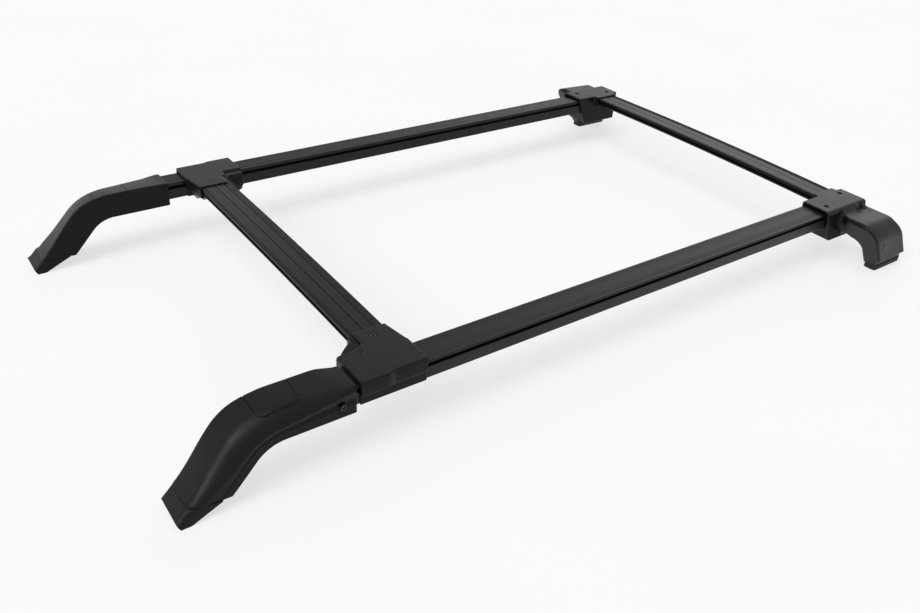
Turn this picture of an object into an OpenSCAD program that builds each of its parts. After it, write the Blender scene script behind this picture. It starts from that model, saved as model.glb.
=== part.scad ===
// Roof rack with two side rails, a sliding front crossbar and a fixed rear crossbar.
// Frame: +X runs to the rear of the vehicle, +Y to its right side, +Z up. The origin is the
// centre of the base of the whole rack, which stands with its feet on a flat surface.

/* [Rack] */
// Distance between the centre lines of the two side rails
rail_gauge = 880; // [820:1:960]
// Height of the rails' upper inner edge above the surface that the rack stands on
rack_h = 148; // [145:1:160]
// Length of rail in view between a front foot cover and the rear corner cover
rail_span = 1280; // [1100:1:1400]

/* [Side rails] */
// Width of a side rail
rail_w = 58; // [56:1:62]
// Depth of a side rail
rail_d = 40; // [38:0.5:42]
// Fall of the rail's top face from its inner edge to its outer edge
rail_fall = 3; // [0:0.5:4]
// Wall of the rail extrusion
rail_wall = 2.4; // [2:0.1:2.8]
// Height of the mouth of the slot in each side of the rail
slot_open = 8; // [6:0.5:9]
// Depth of the slot in each side of the rail
slot_depth = 10; // [8:0.5:11]
// Rail hidden inside a front foot cover
rail_in_foot = 60; // [50:1:75]
// Rail hidden inside a rear corner cover
rail_in_corner = 80; // [60:1:90]

/* [Crossbars] */
// Width of a crossbar
bar_w = 70; // [60:1:80]
// Depth of a crossbar
bar_t = 20; // [18:0.5:22]
// Wall of the crossbar extrusion
bar_wall = 2.2; // [1.8:0.1:2.8]
// Rise of a crossbar's middle above its ends
bar_crown = 5; // [2:0.5:8]
// Height of a crossbar's ends above the rails
bar_rise = 3; // [1:0.5:4]
// Setback of the front crossbar's centre behind the front foot covers
front_bar_set = 92; // [90:1:140]
// Setback of the rear crossbar's centre behind the mouth of the corner cover
rear_bar_set = 100; // [95:1:110]

/* [Front feet] */
// Width of a front foot cover where it takes the rail
foot_w = 68; // [66:0.5:72]
// Width of a front foot at its nose
nose_w = 74; // [68:0.5:80]
// Depth of a front foot cover
foot_t = 54; // [50:0.5:58]
// Length of the straight part of a foot cover before it bends down
foot_straight = 128; // [120:1:140]
// Outer radius of the foot's bend
foot_bend_r = 122; // [115:1:130]
// Angle of the foot's leg below the horizontal
leg_angle = 46.5; // [44:0.5:48]
// Radius of the outboard upper edge at the bend
edge_r = 22; // [12:1:24]
// Length of the hatch in a foot cover
hatch_l = 73; // [60:1:80]
// Width of the hatch in a foot cover
hatch_w = 52; // [40:1:54]
// Wall of the moulded covers
cover_wall = 4; // [3.5:0.1:4.5]

/* [Carriers] */
// Reach of a carrier's long wing along the rail from the crossbar's centre
wing_long = 85; // [70:1:89]
// Reach of a carrier's short wing
wing_short = 48; // [44:1:60]
// Reach of the crossbar sleeve from the rail's centre line
sleeve_reach = 97; // [85:1:110]

/* [Rear corners] */
// Reach of a rear foot's outer face from the rail's centre line
arm_reach = 140; // [134:1:146]
// Thickness of a rear foot from its outer to its inner face
rear_foot_t = 50; // [47:1:54]
// Width of a corner cover's arm along the rail
arm_w = 116; // [112:1:122]
// Distance that the foot's sole lies behind the front of its arm
foot_rake = 84; // [74:1:90]
// Thickness of the rubber pad under a rear foot
rear_pad_t = 12; // [8:0.5:14]

/* [Fixings] */
// Diameter of the bolt holes in the foot brackets
mount_hole_d = 9; // [7:0.1:11]
// Distance between the two bolt holes of a rear foot
rear_hole_pitch = 70; // [60:1:80]
// Distance between the two bolt holes of a front foot
front_hole_pitch = 46; // [44:0.5:48]
// Diameter of a carrier's clamp bolt
clamp_bolt_d = 8; // [6:0.5:10]

/* [Hidden] */

LEFT = -1;
RIGHT = 1;
eps = 0.01;
$fn = 48;

// Clearances
seat_gap = 0.3;         // between a moulded cover and what it seats on
slide_gap = 0.25;       // between a sliding piece and the rail
shank_gap = 0.2;        // round a bolt in its hole
thread_gap = 0.05;      // between a bolt and its tapped hole
screw_r = 3;            // shank of the screws that hold the covers
bracket_bolt_r = 4;     // shank of the bolt inside a front foot

// Foot side outline, as distances forward of the cover's rear end (u) and above the rail's top (v)
cover_rise = 3;
foot_under_r = foot_bend_r - foot_t;
bend_u = foot_straight;
bend_v = cover_rise - foot_bend_r;
leg_dir = [cos(leg_angle), -sin(leg_angle)];
leg_top0 = [bend_u, bend_v] + foot_bend_r * [sin(leg_angle), cos(leg_angle)];
leg_low0 = [bend_u, bend_v] + foot_under_r * [sin(leg_angle), cos(leg_angle)];
floor_v = -rack_h;
nose_flat = 17;         // flat under the nose
tip_h = 10;             // height of the nose's foremost edge above the floor
seam_h = 30;            // height of the cap's seam at the front face
heel_h = 35;            // height of the cover's heel
notch_back = 15;        // distance from the heel to the back of the cap
sole_rise = 24.5;       // height of the sole at the back of the cap
tip = leg_top0 + leg_dir * ((leg_top0[1] - floor_v - tip_h) / sin(leg_angle));
seam_top = leg_top0 + leg_dir * ((leg_top0[1] - floor_v - seam_h) / sin(leg_angle));
heel = leg_low0 + leg_dir * ((leg_low0[1] - floor_v - heel_h) / sin(leg_angle));
toe_flat_u = tip[0] - 5;
sole_front = [toe_flat_u - nose_flat, floor_v];
sole_back = [heel[0] + notch_back, floor_v + sole_rise];
sole_angle = atan2(sole_back[1] - sole_front[1], sole_front[0] - sole_back[0]);
sole_mid = (sole_front + sole_back) / 2;
hatch_mid_u = foot_straight;
hatch_drop = foot_bend_r - sqrt(pow(foot_bend_r, 2) - pow(hatch_l / 2, 2));
hatch_tilt = atan2(hatch_drop, hatch_l);
lid_t = 3.5;
hatch_gap = 0.4;
hatch_r = 12;
ledge_w = 6;
top_wall = 8;           // cover above the bracket, with the hatch's ledge in it
foot_pad_t = 4;         // rubber under the front foot's casting
foot_plate_t = 8;       // plate of the casting over the rubber
foot_sole_l = norm(sole_front - sole_back);
foot_screw_u = 25;
foot_screw_v = -31;

// Places along the rack
arm_front = -48;        // front of a corner cover's arm behind the rear crossbar's centre
arm_back = arm_front + arm_w;
rear_overhang = arm_back + foot_rake;
overall_l = tip[0] + rail_span + rear_bar_set + rear_overhang;
foot_end_x = tip[0] - overall_l / 2;
mouth_x = foot_end_x + rail_span;
front_bar_x = foot_end_x + front_bar_set;
rear_bar_x = mouth_x + rear_bar_set;

// Rail details
slot_z = -7.5 - slot_open / 2;
slot_under = slot_open + 3.6;
lip_t = 2.6;
chamber_w = rail_w - 2 * slot_depth - 2 * rail_wall;
chamber_top = -5.2;
chamber_h = rail_d + chamber_top - rail_wall;
rail_groove_pitch = 5;
rail_grooves = 10;

// Crossbar details
bar_l = rail_gauge - rail_w - 3;
bar_arc_r = (pow(bar_l / 2, 2) + pow(bar_crown, 2)) / (2 * bar_crown);
bar_slot_h = 7;
bar_slot_d = 8;

// Carrier details
carrier_half_w = rail_w / 2 + 7;
carrier_top = bar_rise + 5;
carrier_side = bar_w / 2 + 3.2;
sleeve_floor = bar_rise - bar_t - 5;
wing_drop = 1.2;        // fall of the carrier's top to its ends
jog = 3;                // step in the carrier's outer edge
carrier_low = -rail_d - 1;
liner_t = 1.3;
clamp_y = -sleeve_reach + 25;
bolt_r = clamp_bolt_d / 2;
bolt_head_r = bolt_r + 1.6;
jaw_drop = 6.4;

// Corner details
arm_root = 20;          // start of the arm inside the block
arm_top = -8;
arm_bevel = 10;         // bevel along the arm's upper rear edge
arm_bend_r = 45;
arm_bend_y = arm_reach - arm_bend_r;
arm_inner_y = arm_reach - rear_foot_t;
arm_inner_r = 25;
arm_inner_top = -70;
toe_in = 14;            // setback of the foot's base behind its outer face
toe_high = 24;          // height of the outer face's lower edge above the foot's base
toe_low = 12;
block_back = 56;
block_out = carrier_half_w + 6;
block_low = -rail_d - 6;
corner_sleeve = 50;
corner_floor_v = -rack_h + rear_pad_t;
slant_h = arm_top - arm_bevel - corner_floor_v;
slant = norm([foot_rake, slant_h]) / slant_h;
rear_sole_x = (arm_front + arm_back) / 2 + foot_rake;
rear_sole_y = (arm_inner_y + arm_reach - toe_in) / 2;
rear_hole_x = rear_sole_x - 8;
rear_hole_depth = 20;
corner_screw_at = [[-72, 11], [27, -19]];
corner_screw_set = 5;   // depth of the screw heads' seats
casting_front = rail_in_corner - rear_bar_set + 1;
casting_rear = block_back - 6;
casting_top = -1.5;
spigot_l = 46;          // length of the castings' spigots in the rails' ends

// Colours
moulded = [0.16, 0.16, 0.165];
anodised = [0.12, 0.12, 0.125];
cast_alloy = [0.35, 0.35, 0.36];
rubber_black = [0.07, 0.07, 0.07];
fixing_steel = [0.3, 0.3, 0.31];

// Points along an arc, from angle a0 to a1 in n steps
function arc(centre, r, a0, a1, n) =
    [for (i = [0:n]) let (a = a0 + (a1 - a0) * i / n) centre + r * [cos(a), sin(a)]];

function mix(a, b, t) = a + (b - a) * t;

// Smooth change from a to b
function ease(a, b, t) = a + (b - a) * (3 * t * t - 2 * t * t * t);

// Side outline point (u, v) to the foot's own space, with +X to the rear
function side_point(p, y) = [-p[0], y, p[1]];

// Closed skin over sections that all have the same number of points
module skin(sections) {
    n = len(sections);
    m = len(sections[0]);
    sides = [for (i = [0:n - 2], j = [0:m - 1]) let (k = (j + 1) % m)
        each [[i * m + j, (i + 1) * m + k, i * m + k], [i * m + j, (i + 1) * m + j, (i + 1) * m + k]]];
    first = [for (j = [0:m - 1]) j];
    last = [for (j = [0:m - 1]) (n - 1) * m + m - 1 - j];
    polyhedron([for (s = sections) each s], concat(sides, [first, last]), convexity = 4);
}

// Prism with its outline in Y and Z, running from x0 to x1
module along_x(x0, x1) {
    translate([x0, 0, 0]) rotate([90, 0, 90]) linear_extrude(x1 - x0) children();
}

// Prism with its outline in X and Z, running from y0 to y1
module along_y(y0, y1) {
    translate([0, y1, 0]) rotate([90, 0, 0]) linear_extrude(y1 - y0) children();
}

// Prism with its outline in u and v of the foot, running across it
module across_foot(half_w) {
    along_y(-half_w, half_w) mirror([1, 0]) children();
}

module rounded_rect(l, w, r) {
    offset(r = r, $fn = 32) square([l - 2 * r, w - 2 * r], center = true);
}

// Puts a right-hand piece at its place, or its mirror image on the left
module at_side(side, x) {
    mirror([0, side == RIGHT ? 0 : 1, 0]) translate([x, rail_gauge / 2, rack_h]) children();
}

// Puts a carrier at its place: the left one is the right one turned half round
module at_carrier(side) {
    translate([front_bar_x, 0, 0]) rotate([0, 0, side == RIGHT ? 0 : 180])
        translate([0, rail_gauge / 2, rack_h]) children();
}

// Height of the rail's top face at distance y outboard of its centre
function rail_top(y) = -rail_fall * (y + rail_w / 2) / rail_w;

module rail_outline(grow = 0) {
    h = rail_w / 2 + grow;
    r = 2 + grow;
    polygon(concat(
        arc([-h + r, -rail_d - grow + r], r, 270, 180, 6),
        arc([-h + r, rail_top(-h) + grow - r], r, 180, 90, 6),
        arc([h - r, rail_top(h) + grow - r], r, 90, 0, 6),
        arc([h - r, -rail_d - grow + r], r, 0, -90, 6)
    ));
}

module rail_section() {
    difference() {
        rail_outline();
        for (m = [-1, 1]) {
            translate([m * rail_w / 2, slot_z]) square([2 * slot_depth, slot_open], center = true);
            translate([m * (rail_w / 2 - (slot_depth + lip_t) / 2), slot_z])
                square([slot_depth - lip_t, slot_under], center = true);
            translate([m * (rail_w / 2 - rail_wall - (slot_depth - rail_wall) / 2),
                (slot_z - slot_under / 2 - rail_wall - rail_d + rail_wall) / 2])
                square([slot_depth - rail_wall, rail_d + slot_z - slot_under / 2 - 2 * rail_wall],
                    center = true);
        }
        translate([-chamber_w / 2, chamber_top - chamber_h]) square([chamber_w, chamber_h]);
        for (i = [-(rail_grooves / 2):rail_grooves / 2])
            translate([i * rail_groove_pitch, rail_top(i * rail_groove_pitch)])
                rotate(45) square(1, center = true);
    }
}

module side_rail(side) {
    color(anodised) at_side(side, foot_end_x) difference() {
        along_x(-rail_in_foot, rail_span + rail_in_corner) rail_section();
        for (m = [-1, 1])
            translate([-foot_screw_u, m * rail_w / 2, foot_screw_v])
                rotate([90, 0, 0]) cylinder(h = 3 * slot_depth, r = screw_r + shank_gap, center = true);
        translate([rail_span + rear_bar_set + corner_screw_at[0][0], corner_screw_at[0][1], 0])
            cylinder(h = 10, r = screw_r + thread_gap, center = true);
    }
}

// Outline across a crossbar, with its top face at zero
module bar_outline(grow = 0) {
    h = bar_w / 2 + grow;
    r = 1.8 + grow;
    low = 6;
    polygon(concat(
        arc([-h + low, -bar_t - grow + low], low, 270, 180, 6),
        arc([-h + r, grow - r], r, 180, 90, 5),
        arc([h - r, grow - r], r, 90, 0, 5),
        arc([h - low, -bar_t - grow + low], low, 0, -90, 6)
    ));
}

module bar_section() {
    web = 12;
    inner_h = bar_t - 2 * bar_wall;
    difference() {
        bar_outline();
        for (m = [-1, 1]) {
            translate([m * bar_w / 2, -bar_t / 2]) square([2 * bar_slot_d, bar_slot_h], center = true);
            translate([m * (bar_w / 2 - bar_slot_d - bar_wall - web / 2), -bar_t / 2])
                square([web, inner_h], center = true);
        }
        middle_w = bar_w - 2 * (bar_slot_d + 2 * bar_wall + web);
        translate([0, -bar_t / 2]) square([middle_w, inner_h], center = true);
        // Dark lines between the panels of the top face, and the fine ridges of the rear panel
        for (share = [0.05, 0.44, 0.755])
            translate([bar_w * (share - 0.5), 0]) square([1.5, 2.4], center = true);
        for (i = [0:5])
            translate([bar_w * 0.29 + 2.3 * i, 0]) rotate(45) square(0.9, center = true);
    }
}

// Sweeps an outline across the rack along the crossbars' shallow arch
module arched(half_l) {
    a = asin(half_l / bar_arc_r);
    translate([0, 0, rack_h + bar_rise + bar_crown - bar_arc_r]) rotate([90, 0, 90])
        rotate_extrude(angle = 2 * a, start = 90 - a, $fn = ceil(14 * 180 / a))
            translate([bar_arc_r, 0]) mirror([1, 0]) rotate(90) children();
}

module crossbar(x) {
    translate([x, 0, 0]) arched(bar_l / 2) bar_section();
}

module front_crossbar() {
    color(anodised) difference() {
        crossbar(front_bar_x);
        for (m = [-1, 1])
            translate([front_bar_x, m * (rail_gauge / 2 + clamp_y), rack_h + bar_rise - bar_t / 2])
                cylinder(h = 3 * bar_t, r = bolt_r + shank_gap, center = true);
    }
}

module rear_crossbar() {
    color(anodised) crossbar(rear_bar_x);
}

// Section of the foot between an upper and a lower point, inboard edge first
function foot_section(top, low, half_w, r_in, r_out, n_in = 5, n_out = 8) =
    let (h = norm(top - low), across = (top - low) / h, c = 1.5,
        flat = concat(
            [[half_w - c, 0], [-half_w + c, 0], [-half_w, c]],
            arc([-half_w + r_in, h - r_in], r_in, 180, 90, n_in),
            arc([half_w - r_out, h - r_out], r_out, 90, 0, n_out),
            [[half_w, c]]))
    [for (p = flat) side_point(low + across * p[1], p[0])];

function foot_half_w(s) = mix(foot_w, nose_w, s) / 2;

// Sections of the straight part, the bend and the leg, pulled in by a wall on each side
straight_steps = 4;
bend_steps = 12;
leg_steps = 5;

function straight_sections() =
    [for (i = [0:straight_steps - 1]) let (t = i / straight_steps, u = foot_straight * t)
    foot_section([u, cover_rise], [u, cover_rise - foot_t], foot_half_w(0), 4.5, ease(7, edge_r, t))];

function bend_sections() = [for (i = [0:bend_steps]) let (t = i / bend_steps, a = 90 - leg_angle * t)
    foot_section([bend_u, bend_v] + foot_bend_r * [cos(a), sin(a)],
        [bend_u, bend_v] + foot_under_r * [cos(a), sin(a)], foot_half_w(t * 0.4), ease(4.5, 6, t), edge_r)];

function leg_sections() = [for (i = [1:leg_steps]) let (t = i / leg_steps)
    foot_section(mix(leg_top0, seam_top, t), mix(leg_low0, heel, t), foot_half_w(0.4 + 0.6 * t), 6,
        ease(edge_r, 13, t))];

// Space inside a foot cover, open underneath
function cavity_section(top, low, half_w) =
    let (across = (top - low) / norm(top - low), h = norm(top - low) - top_wall, w = half_w - cover_wall,
        cut_out = 10, cut_in = 2,
        flat = [[w, -3], [-w, -3], [-w, h - cut_in], [-w + cut_in, h], [w - cut_out, h], [w, h - cut_out]])
    [for (p = flat) side_point(low + across * p[1], p[0])];

function cavity_sections() = concat(
    [for (u = [rail_in_foot - 1, foot_straight])
        cavity_section([u, cover_rise], [u, cover_rise - foot_t], foot_half_w(0))],
    [for (i = [1:bend_steps]) let (t = i / bend_steps, a = 90 - leg_angle * t)
        cavity_section([bend_u, bend_v] + foot_bend_r * [cos(a), sin(a)],
            [bend_u, bend_v] + foot_under_r * [cos(a), sin(a)], foot_half_w(t * 0.4))],
    [cavity_section(seam_top + leg_dir * 2, heel + leg_dir * 2, foot_half_w(1))]);

// Frame of the hatch's seat, with Z square to it and its origin in the middle of the seat
module at_hatch() {
    translate([-hatch_mid_u, 0, cover_rise - hatch_drop / 2]) rotate([0, -hatch_tilt, 0])
        mirror([1, 0, 0]) translate([0, 0, -lid_t]) children();
}

module foot_screw_places() {
    for (m = [-1, 1])
        translate([-foot_screw_u, m * foot_w / 2, foot_screw_v]) rotate([-90 * m, 0, 0]) children();
}

module front_foot_cover(side) {
    color(moulded) at_side(side, foot_end_x) difference() {
        skin(concat(straight_sections(), bend_sections(), leg_sections()));
        skin(cavity_sections());
        along_x(-rail_in_foot - seat_gap, eps) union() {
            rail_outline(seat_gap);
            translate([-rail_w / 2 - seat_gap, -foot_t]) square([rail_w + 2 * seat_gap, foot_t - 10]);
        }
        at_hatch() {
            linear_extrude(30)
                rounded_rect(hatch_l + 2 * hatch_gap, hatch_w + 2 * hatch_gap, hatch_r + hatch_gap);
            translate([0, 0, -20]) linear_extrude(30)
                rounded_rect(hatch_l - 2 * ledge_w, hatch_w - 2 * ledge_w, hatch_r - 4);
        }
        foot_screw_places() {
            translate([0, 0, -2]) cylinder(h = 10, r = 7);
            cylinder(h = 30, r = screw_r + shank_gap, center = true);
        }
        // Bevelled lower corner at the rail end
        translate([0, 0, cover_rise - foot_t]) rotate([0, 45, 0]) cube([8, 2 * foot_w, 8], center = true);
    }
}

module foot_hatch(side) {
    color(moulded) at_side(side, foot_end_x) {
        intersection() {
            skin([for (s = concat(straight_sections(), bend_sections())) s]);
            at_hatch() translate([0, 0, 0.2]) linear_extrude(20) rounded_rect(hatch_l, hatch_w, hatch_r);
        }
        // Clip tongues that hold the lid in its frame
        at_hatch() for (m = [-1, 1])
            translate([m * (hatch_l / 2 - ledge_w - 2), 0, -1.6]) cube([1.8, 14, 3.6], center = true);
    }
}

module nose_cap(side) {
    gap = 0.4;
    back_top = mix(heel, seam_top, notch_back / (seam_top[0] - heel[0]));
    inset = 3.6;
    color(moulded) at_side(side, foot_end_x) difference() {
        intersection() {
            skin([for (t = [-3, 50])
                foot_section(seam_top + leg_dir * t, heel + leg_dir * t, foot_half_w(1), 6, 13)]);
            across_foot(nose_w) polygon([
                sole_back, [sole_back[0], back_top[1] - gap], seam_top - [0, gap] + [2, 0],
                tip + [20, 20], tip, [toe_flat_u, floor_v], sole_front]);
        }
        across_foot(foot_half_w(1) - cover_wall) polygon([
            sole_back + [inset, -10], [sole_back[0] + inset, back_top[1] + 10], seam_top + [-inset - 3, 10],
            tip + [-inset - 7, 4], [toe_flat_u - inset - 4, floor_v + 4], sole_front + [1, 4],
            sole_front + [-2, -10]]);
    }
}

// Side outline of the casting inside a front foot
module foot_bracket_outline() {
    gap_top = top_wall + 1.6;
    gap_low = 1.5;
    spigot_in = 40;
    normal = [sin(sole_angle), cos(sole_angle)];
    back = 6 * [-cos(sole_angle), sin(sole_angle)];
    polygon(concat(
        [[-spigot_in, chamber_top - chamber_h + seat_gap], [-spigot_in, chamber_top - seat_gap],
            [rail_in_foot + 1, chamber_top - seat_gap], [rail_in_foot + 1, cover_rise - gap_top]],
        arc([bend_u, bend_v], foot_bend_r - gap_top, 90, 90 - leg_angle, 12),
        [seam_top - gap_top * [sin(leg_angle), cos(leg_angle)] - leg_dir * 4,
            sole_front + normal * (foot_pad_t + foot_plate_t) + back, sole_front + normal * foot_pad_t + back,
            sole_back + normal * foot_pad_t - back, sole_back + normal * (foot_pad_t + foot_plate_t) - back,
            heel + leg_dir * (-12) + gap_low * [sin(leg_angle), cos(leg_angle)]],
        arc([bend_u, bend_v], foot_under_r + gap_low, 90 - leg_angle, 90, 12),
        [[rail_in_foot + 1, cover_rise - foot_t + gap_low],
            [rail_in_foot + 1, chamber_top - chamber_h + seat_gap]]
    ));
}

// Frame on a front foot's sole, with Z square to it and pointing into the foot
module at_sole() {
    translate(side_point(sole_mid, 0)) rotate([0, -sole_angle, 0]) mirror([1, 0, 0]) children();
}

module front_foot_bracket(side) {
    web = chamber_w / 2 - seat_gap;
    color(cast_alloy) at_side(side, foot_end_x) difference() {
        union() {
            across_foot(web) foot_bracket_outline();
            at_sole() translate([-foot_sole_l / 2 + 6, -nose_w / 2 + cover_wall + 2, foot_pad_t])
                cube([foot_sole_l - 13, nose_w - 2 * cover_wall - 4, foot_plate_t]);
        }
        for (m = [-1, 1])
            at_sole() translate([0, m * front_hole_pitch / 2, 0])
                cylinder(h = 60, r = mount_hole_d / 2, center = true);
        // Lightening holes round the bend
        for (share = [0.2, 0.55, 0.9])
            let (a = 90 - leg_angle * share, r = (foot_bend_r + foot_under_r) / 2 - 4)
                translate(side_point([bend_u, bend_v] + r * [cos(a), sin(a)], 0))
                    rotate([90, 0, 0]) cylinder(h = 2 * foot_w, r = 9, center = true);
        for (m = [-1, 1]) translate([-foot_screw_u, 0, foot_screw_v]) rotate([-90 * m, 0, 0])
            cylinder(h = foot_w, r = screw_r + thread_gap);
        hatch_bolt_place() {
            cylinder(h = 20, r = 8);
            translate([0, 0, -28]) cylinder(h = 30, r = bracket_bolt_r + thread_gap);
        }
    }
}

module hatch_bolt_place() {
    translate([-hatch_mid_u + 12, 0, cover_rise - top_wall - 11]) children();
}

module hex_socket(r, depth) {
    translate([0, 0, -depth]) cylinder(h = depth + 1, r = r, $fn = 6);
}

module front_foot_screws(side) {
    color(fixing_steel) at_side(side, foot_end_x) {
        foot_screw_places() difference() {
            union() {
                translate([0, 0, -1.8]) cylinder(h = 2.6, r = 6);
                translate([0, 0, -foot_w / 2 + 6]) cylinder(h = foot_w / 2 - 7, r = screw_r);
            }
            translate([0, 0, 0.8]) hex_socket(2.6, 2);
        }
        hatch_bolt_place() difference() {
            union() {
                translate([0, 0, 0.1]) cylinder(h = 8, r = 6.5);
                translate([0, 0, -26]) cylinder(h = 27, r = bracket_bolt_r);
            }
            translate([0, 0, 8.1]) hex_socket(3.4, 4);
        }
    }
}

module front_foot_pad(side) {
    w = nose_w / 2 - cover_wall - 1;
    color(rubber_black) at_side(side, foot_end_x) difference() {
        at_sole() translate([-foot_sole_l / 2 + 5, -w, 0.2]) cube([foot_sole_l - 11, 2 * w, foot_pad_t - 0.4]);
        for (m = [-1, 1])
            at_sole() translate([0, m * front_hole_pitch / 2, 0])
                cylinder(h = 60, r = mount_hole_d / 2 + 1, center = true);
    }
}

// Carrier: a cover that wraps the rail and sleeves the crossbar's end
module carrier_plan() {
    offset(r = -6, $fn = 32) offset(delta = 6) offset(r = 3, $fn = 32) offset(delta = -3) polygon([
        [carrier_side, -sleeve_reach], [carrier_side, -rail_w / 2 - 22], [carrier_side + 22, -carrier_half_w],
        [wing_long, -carrier_half_w + 1], [wing_long, carrier_half_w], [32, carrier_half_w],
        [18, carrier_half_w - jog], [-wing_short, carrier_half_w - jog],
        [-wing_short, -carrier_half_w], [-carrier_side, -sleeve_reach]]);
}

module carrier_cover(side) {
    low = carrier_low;
    h = carrier_half_w;
    color(moulded) at_carrier(side) difference() {
        intersection() {
            translate([0, 0, low]) linear_extrude(-low + carrier_top + 1) carrier_plan();
            along_x(-wing_short - 1, wing_long + 1) polygon(concat(
                [[-sleeve_reach, sleeve_floor], [-sleeve_reach, carrier_top - 5],
                    [-sleeve_reach + 5, carrier_top], [-8, carrier_top]],
                arc([h - 9, carrier_top - wing_drop - 9], 9, 84, 0, 7),
                [[h, low], [-h, low], [-h, sleeve_floor]]));
            along_y(-sleeve_reach - 1, h + 1) polygon([
                [-wing_short, low], [-wing_short, carrier_top - 6], [-wing_short + 5, carrier_top - wing_drop],
                [-carrier_side, carrier_top], [carrier_side, carrier_top],
                [wing_long - 4, carrier_top - wing_drop], [wing_long, carrier_top - 5], [wing_long, low]]);
        }
        // Bevels along the upper edges of the sleeve
        for (m = [-1, 1])
            translate([m * (carrier_side + 1), -sleeve_reach + (sleeve_reach - h) / 2 - 4, carrier_top + 1])
                rotate([0, 45, 0]) cube([9, sleeve_reach - h, 9], center = true);
        // Channel for the rail, with room for the glide
        translate([-wing_short - 1, -rail_w / 2 - liner_t - 0.3, low - 1])
            cube([wing_short + wing_long + 2, rail_w + 2 * liner_t + 0.9, -low + 1 + liner_t + 0.3]);
        // Room for the crossbar
        translate([0, -rail_gauge / 2, -rack_h]) intersection() {
            arched(bar_l / 2 + 1) bar_outline(seat_gap);
            translate([-bar_w, 0, 0]) cube([2 * bar_w, rail_gauge, 2 * rack_h]);
        }
        // Dimple and hole for the clamp bolt
        translate([0, clamp_y, 0]) {
            translate([0, 0, carrier_top - 1.6]) cylinder(h = 5, r = bolt_head_r + 0.8);
            cylinder(h = 100, r = bolt_r + shank_gap, center = true);
        }
    }
}

module carrier_glide(side) {
    h = rail_w / 2 + slide_gap;
    top = liner_t;
    tongue = 5;
    color(rubber_black) at_carrier(side) along_x(-wing_short + 6, wing_long - 6) polygon([
        [-rail_w / 2 + 2, top], [h + liner_t - 0.2, top], [h + liner_t - 0.2, slot_z - slot_open / 2 - 4],
        [h, slot_z - slot_open / 2 - 4], [h, slot_z - slot_open / 2 + slide_gap],
        [h - tongue, slot_z - slot_open / 2 + slide_gap], [h - tongue, slot_z + slot_open / 2 - slide_gap],
        [h, slot_z + slot_open / 2 - slide_gap], [h, rail_top(rail_w / 2) + slide_gap],
        [-rail_w / 2 + 2, rail_top(-rail_w / 2) + slide_gap]]);
}

module carrier_jaw(side) {
    top = sleeve_floor - seat_gap;
    rail_low = -rail_d - slide_gap;
    h = carrier_half_w;
    color(cast_alloy) at_carrier(side) difference() {
        intersection() {
            along_x(-30, 30) polygon([
                [-sleeve_reach + 8, top], [-sleeve_reach + 8, top - 5], [-sleeve_reach + 12, top - 9],
                [-h - 12, top - 10], [-h - 4, rail_low - jaw_drop], [4, rail_low - jaw_drop],
                [8, rail_low - jaw_drop + 3], [8, rail_low], [-rail_w / 2 + 2, rail_low],
                [-rail_w / 2 + 1, carrier_low - seat_gap], [-h - seat_gap, carrier_low - seat_gap],
                [-h - seat_gap, top]]);
            translate([0, -sleeve_reach / 2 + 8, -60]) linear_extrude(60)
                rounded_rect(60, sleeve_reach + 2, 12);
        }
        translate([0, clamp_y, 0]) cylinder(h = 200, r = bolt_r + thread_gap, center = true);
    }
}

module carrier_bolt(side) {
    length = carrier_top - 1.6 - sleeve_floor + 16;
    color(fixing_steel) at_carrier(side) translate([0, clamp_y, carrier_top - 1.6]) difference() {
        union() {
            translate([0, 0, 0.05]) cylinder(h = 1.2, r = bolt_head_r);
            translate([0, 0, -length]) cylinder(h = length + 1, r = bolt_r);
        }
        translate([0, 0, 1.3]) hex_socket(2.6, 2);
    }
}

// Corner: outline across the arm, from inside the block out over its bend and down to the foot
module arm_outline(inset = 0) {
    low = corner_floor_v - (inset > 0 ? 5 : 0);
    out = arm_reach - inset;
    rise = 0.44 * inset;
    polygon(concat(
        [[arm_root + inset, arm_top - inset]],
        arc([arm_bend_y, arm_top - arm_bend_r], arm_bend_r - inset, 90, 0, 12),
        [[out, corner_floor_v + toe_high + rise], [out - toe_in + 1, corner_floor_v + toe_low + rise],
            [out - toe_in, low], [arm_inner_y + inset, low]],
        arc([arm_inner_y - arm_inner_r, arm_inner_top - arm_inner_r], arm_inner_r + inset, 0, 90, 8),
        [[rail_w / 2 + 7, -rail_d - 18 + inset], [arm_root + inset, block_low - 4 + inset]]));
}

// Corner: side outline of the arm and the foot, which slants to the rear
module arm_side_outline() {
    polygon([
        [arm_front, arm_top - arm_bevel], [arm_front, arm_top - 4], [arm_front + 4, arm_top],
        [arm_back - arm_bevel, arm_top], [arm_back, arm_top - arm_bevel],
        [arm_back + foot_rake, corner_floor_v], [arm_front + foot_rake, corner_floor_v]]);
}

// Corner: side outline of the casting, grown by a clearance
module casting_side_outline(clear) {
    inset = cover_wall + seat_gap - clear;
    side = inset * slant;
    front = casting_front - clear;
    front_v = arm_top - arm_bevel - (front - arm_front - side) * slant_h / foot_rake;
    low = corner_floor_v - 5;
    lag = 5 * foot_rake / slant_h;
    polygon([
        [front, 0], [arm_back - arm_bevel - side, 0], [arm_back - arm_bevel - side, arm_top - inset],
        [arm_back - side, arm_top - arm_bevel - inset], [arm_back + foot_rake - side, corner_floor_v],
        [arm_back + foot_rake - side + lag, low], [arm_front + foot_rake + side + lag, low], [front, front_v]]);
}

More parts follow.
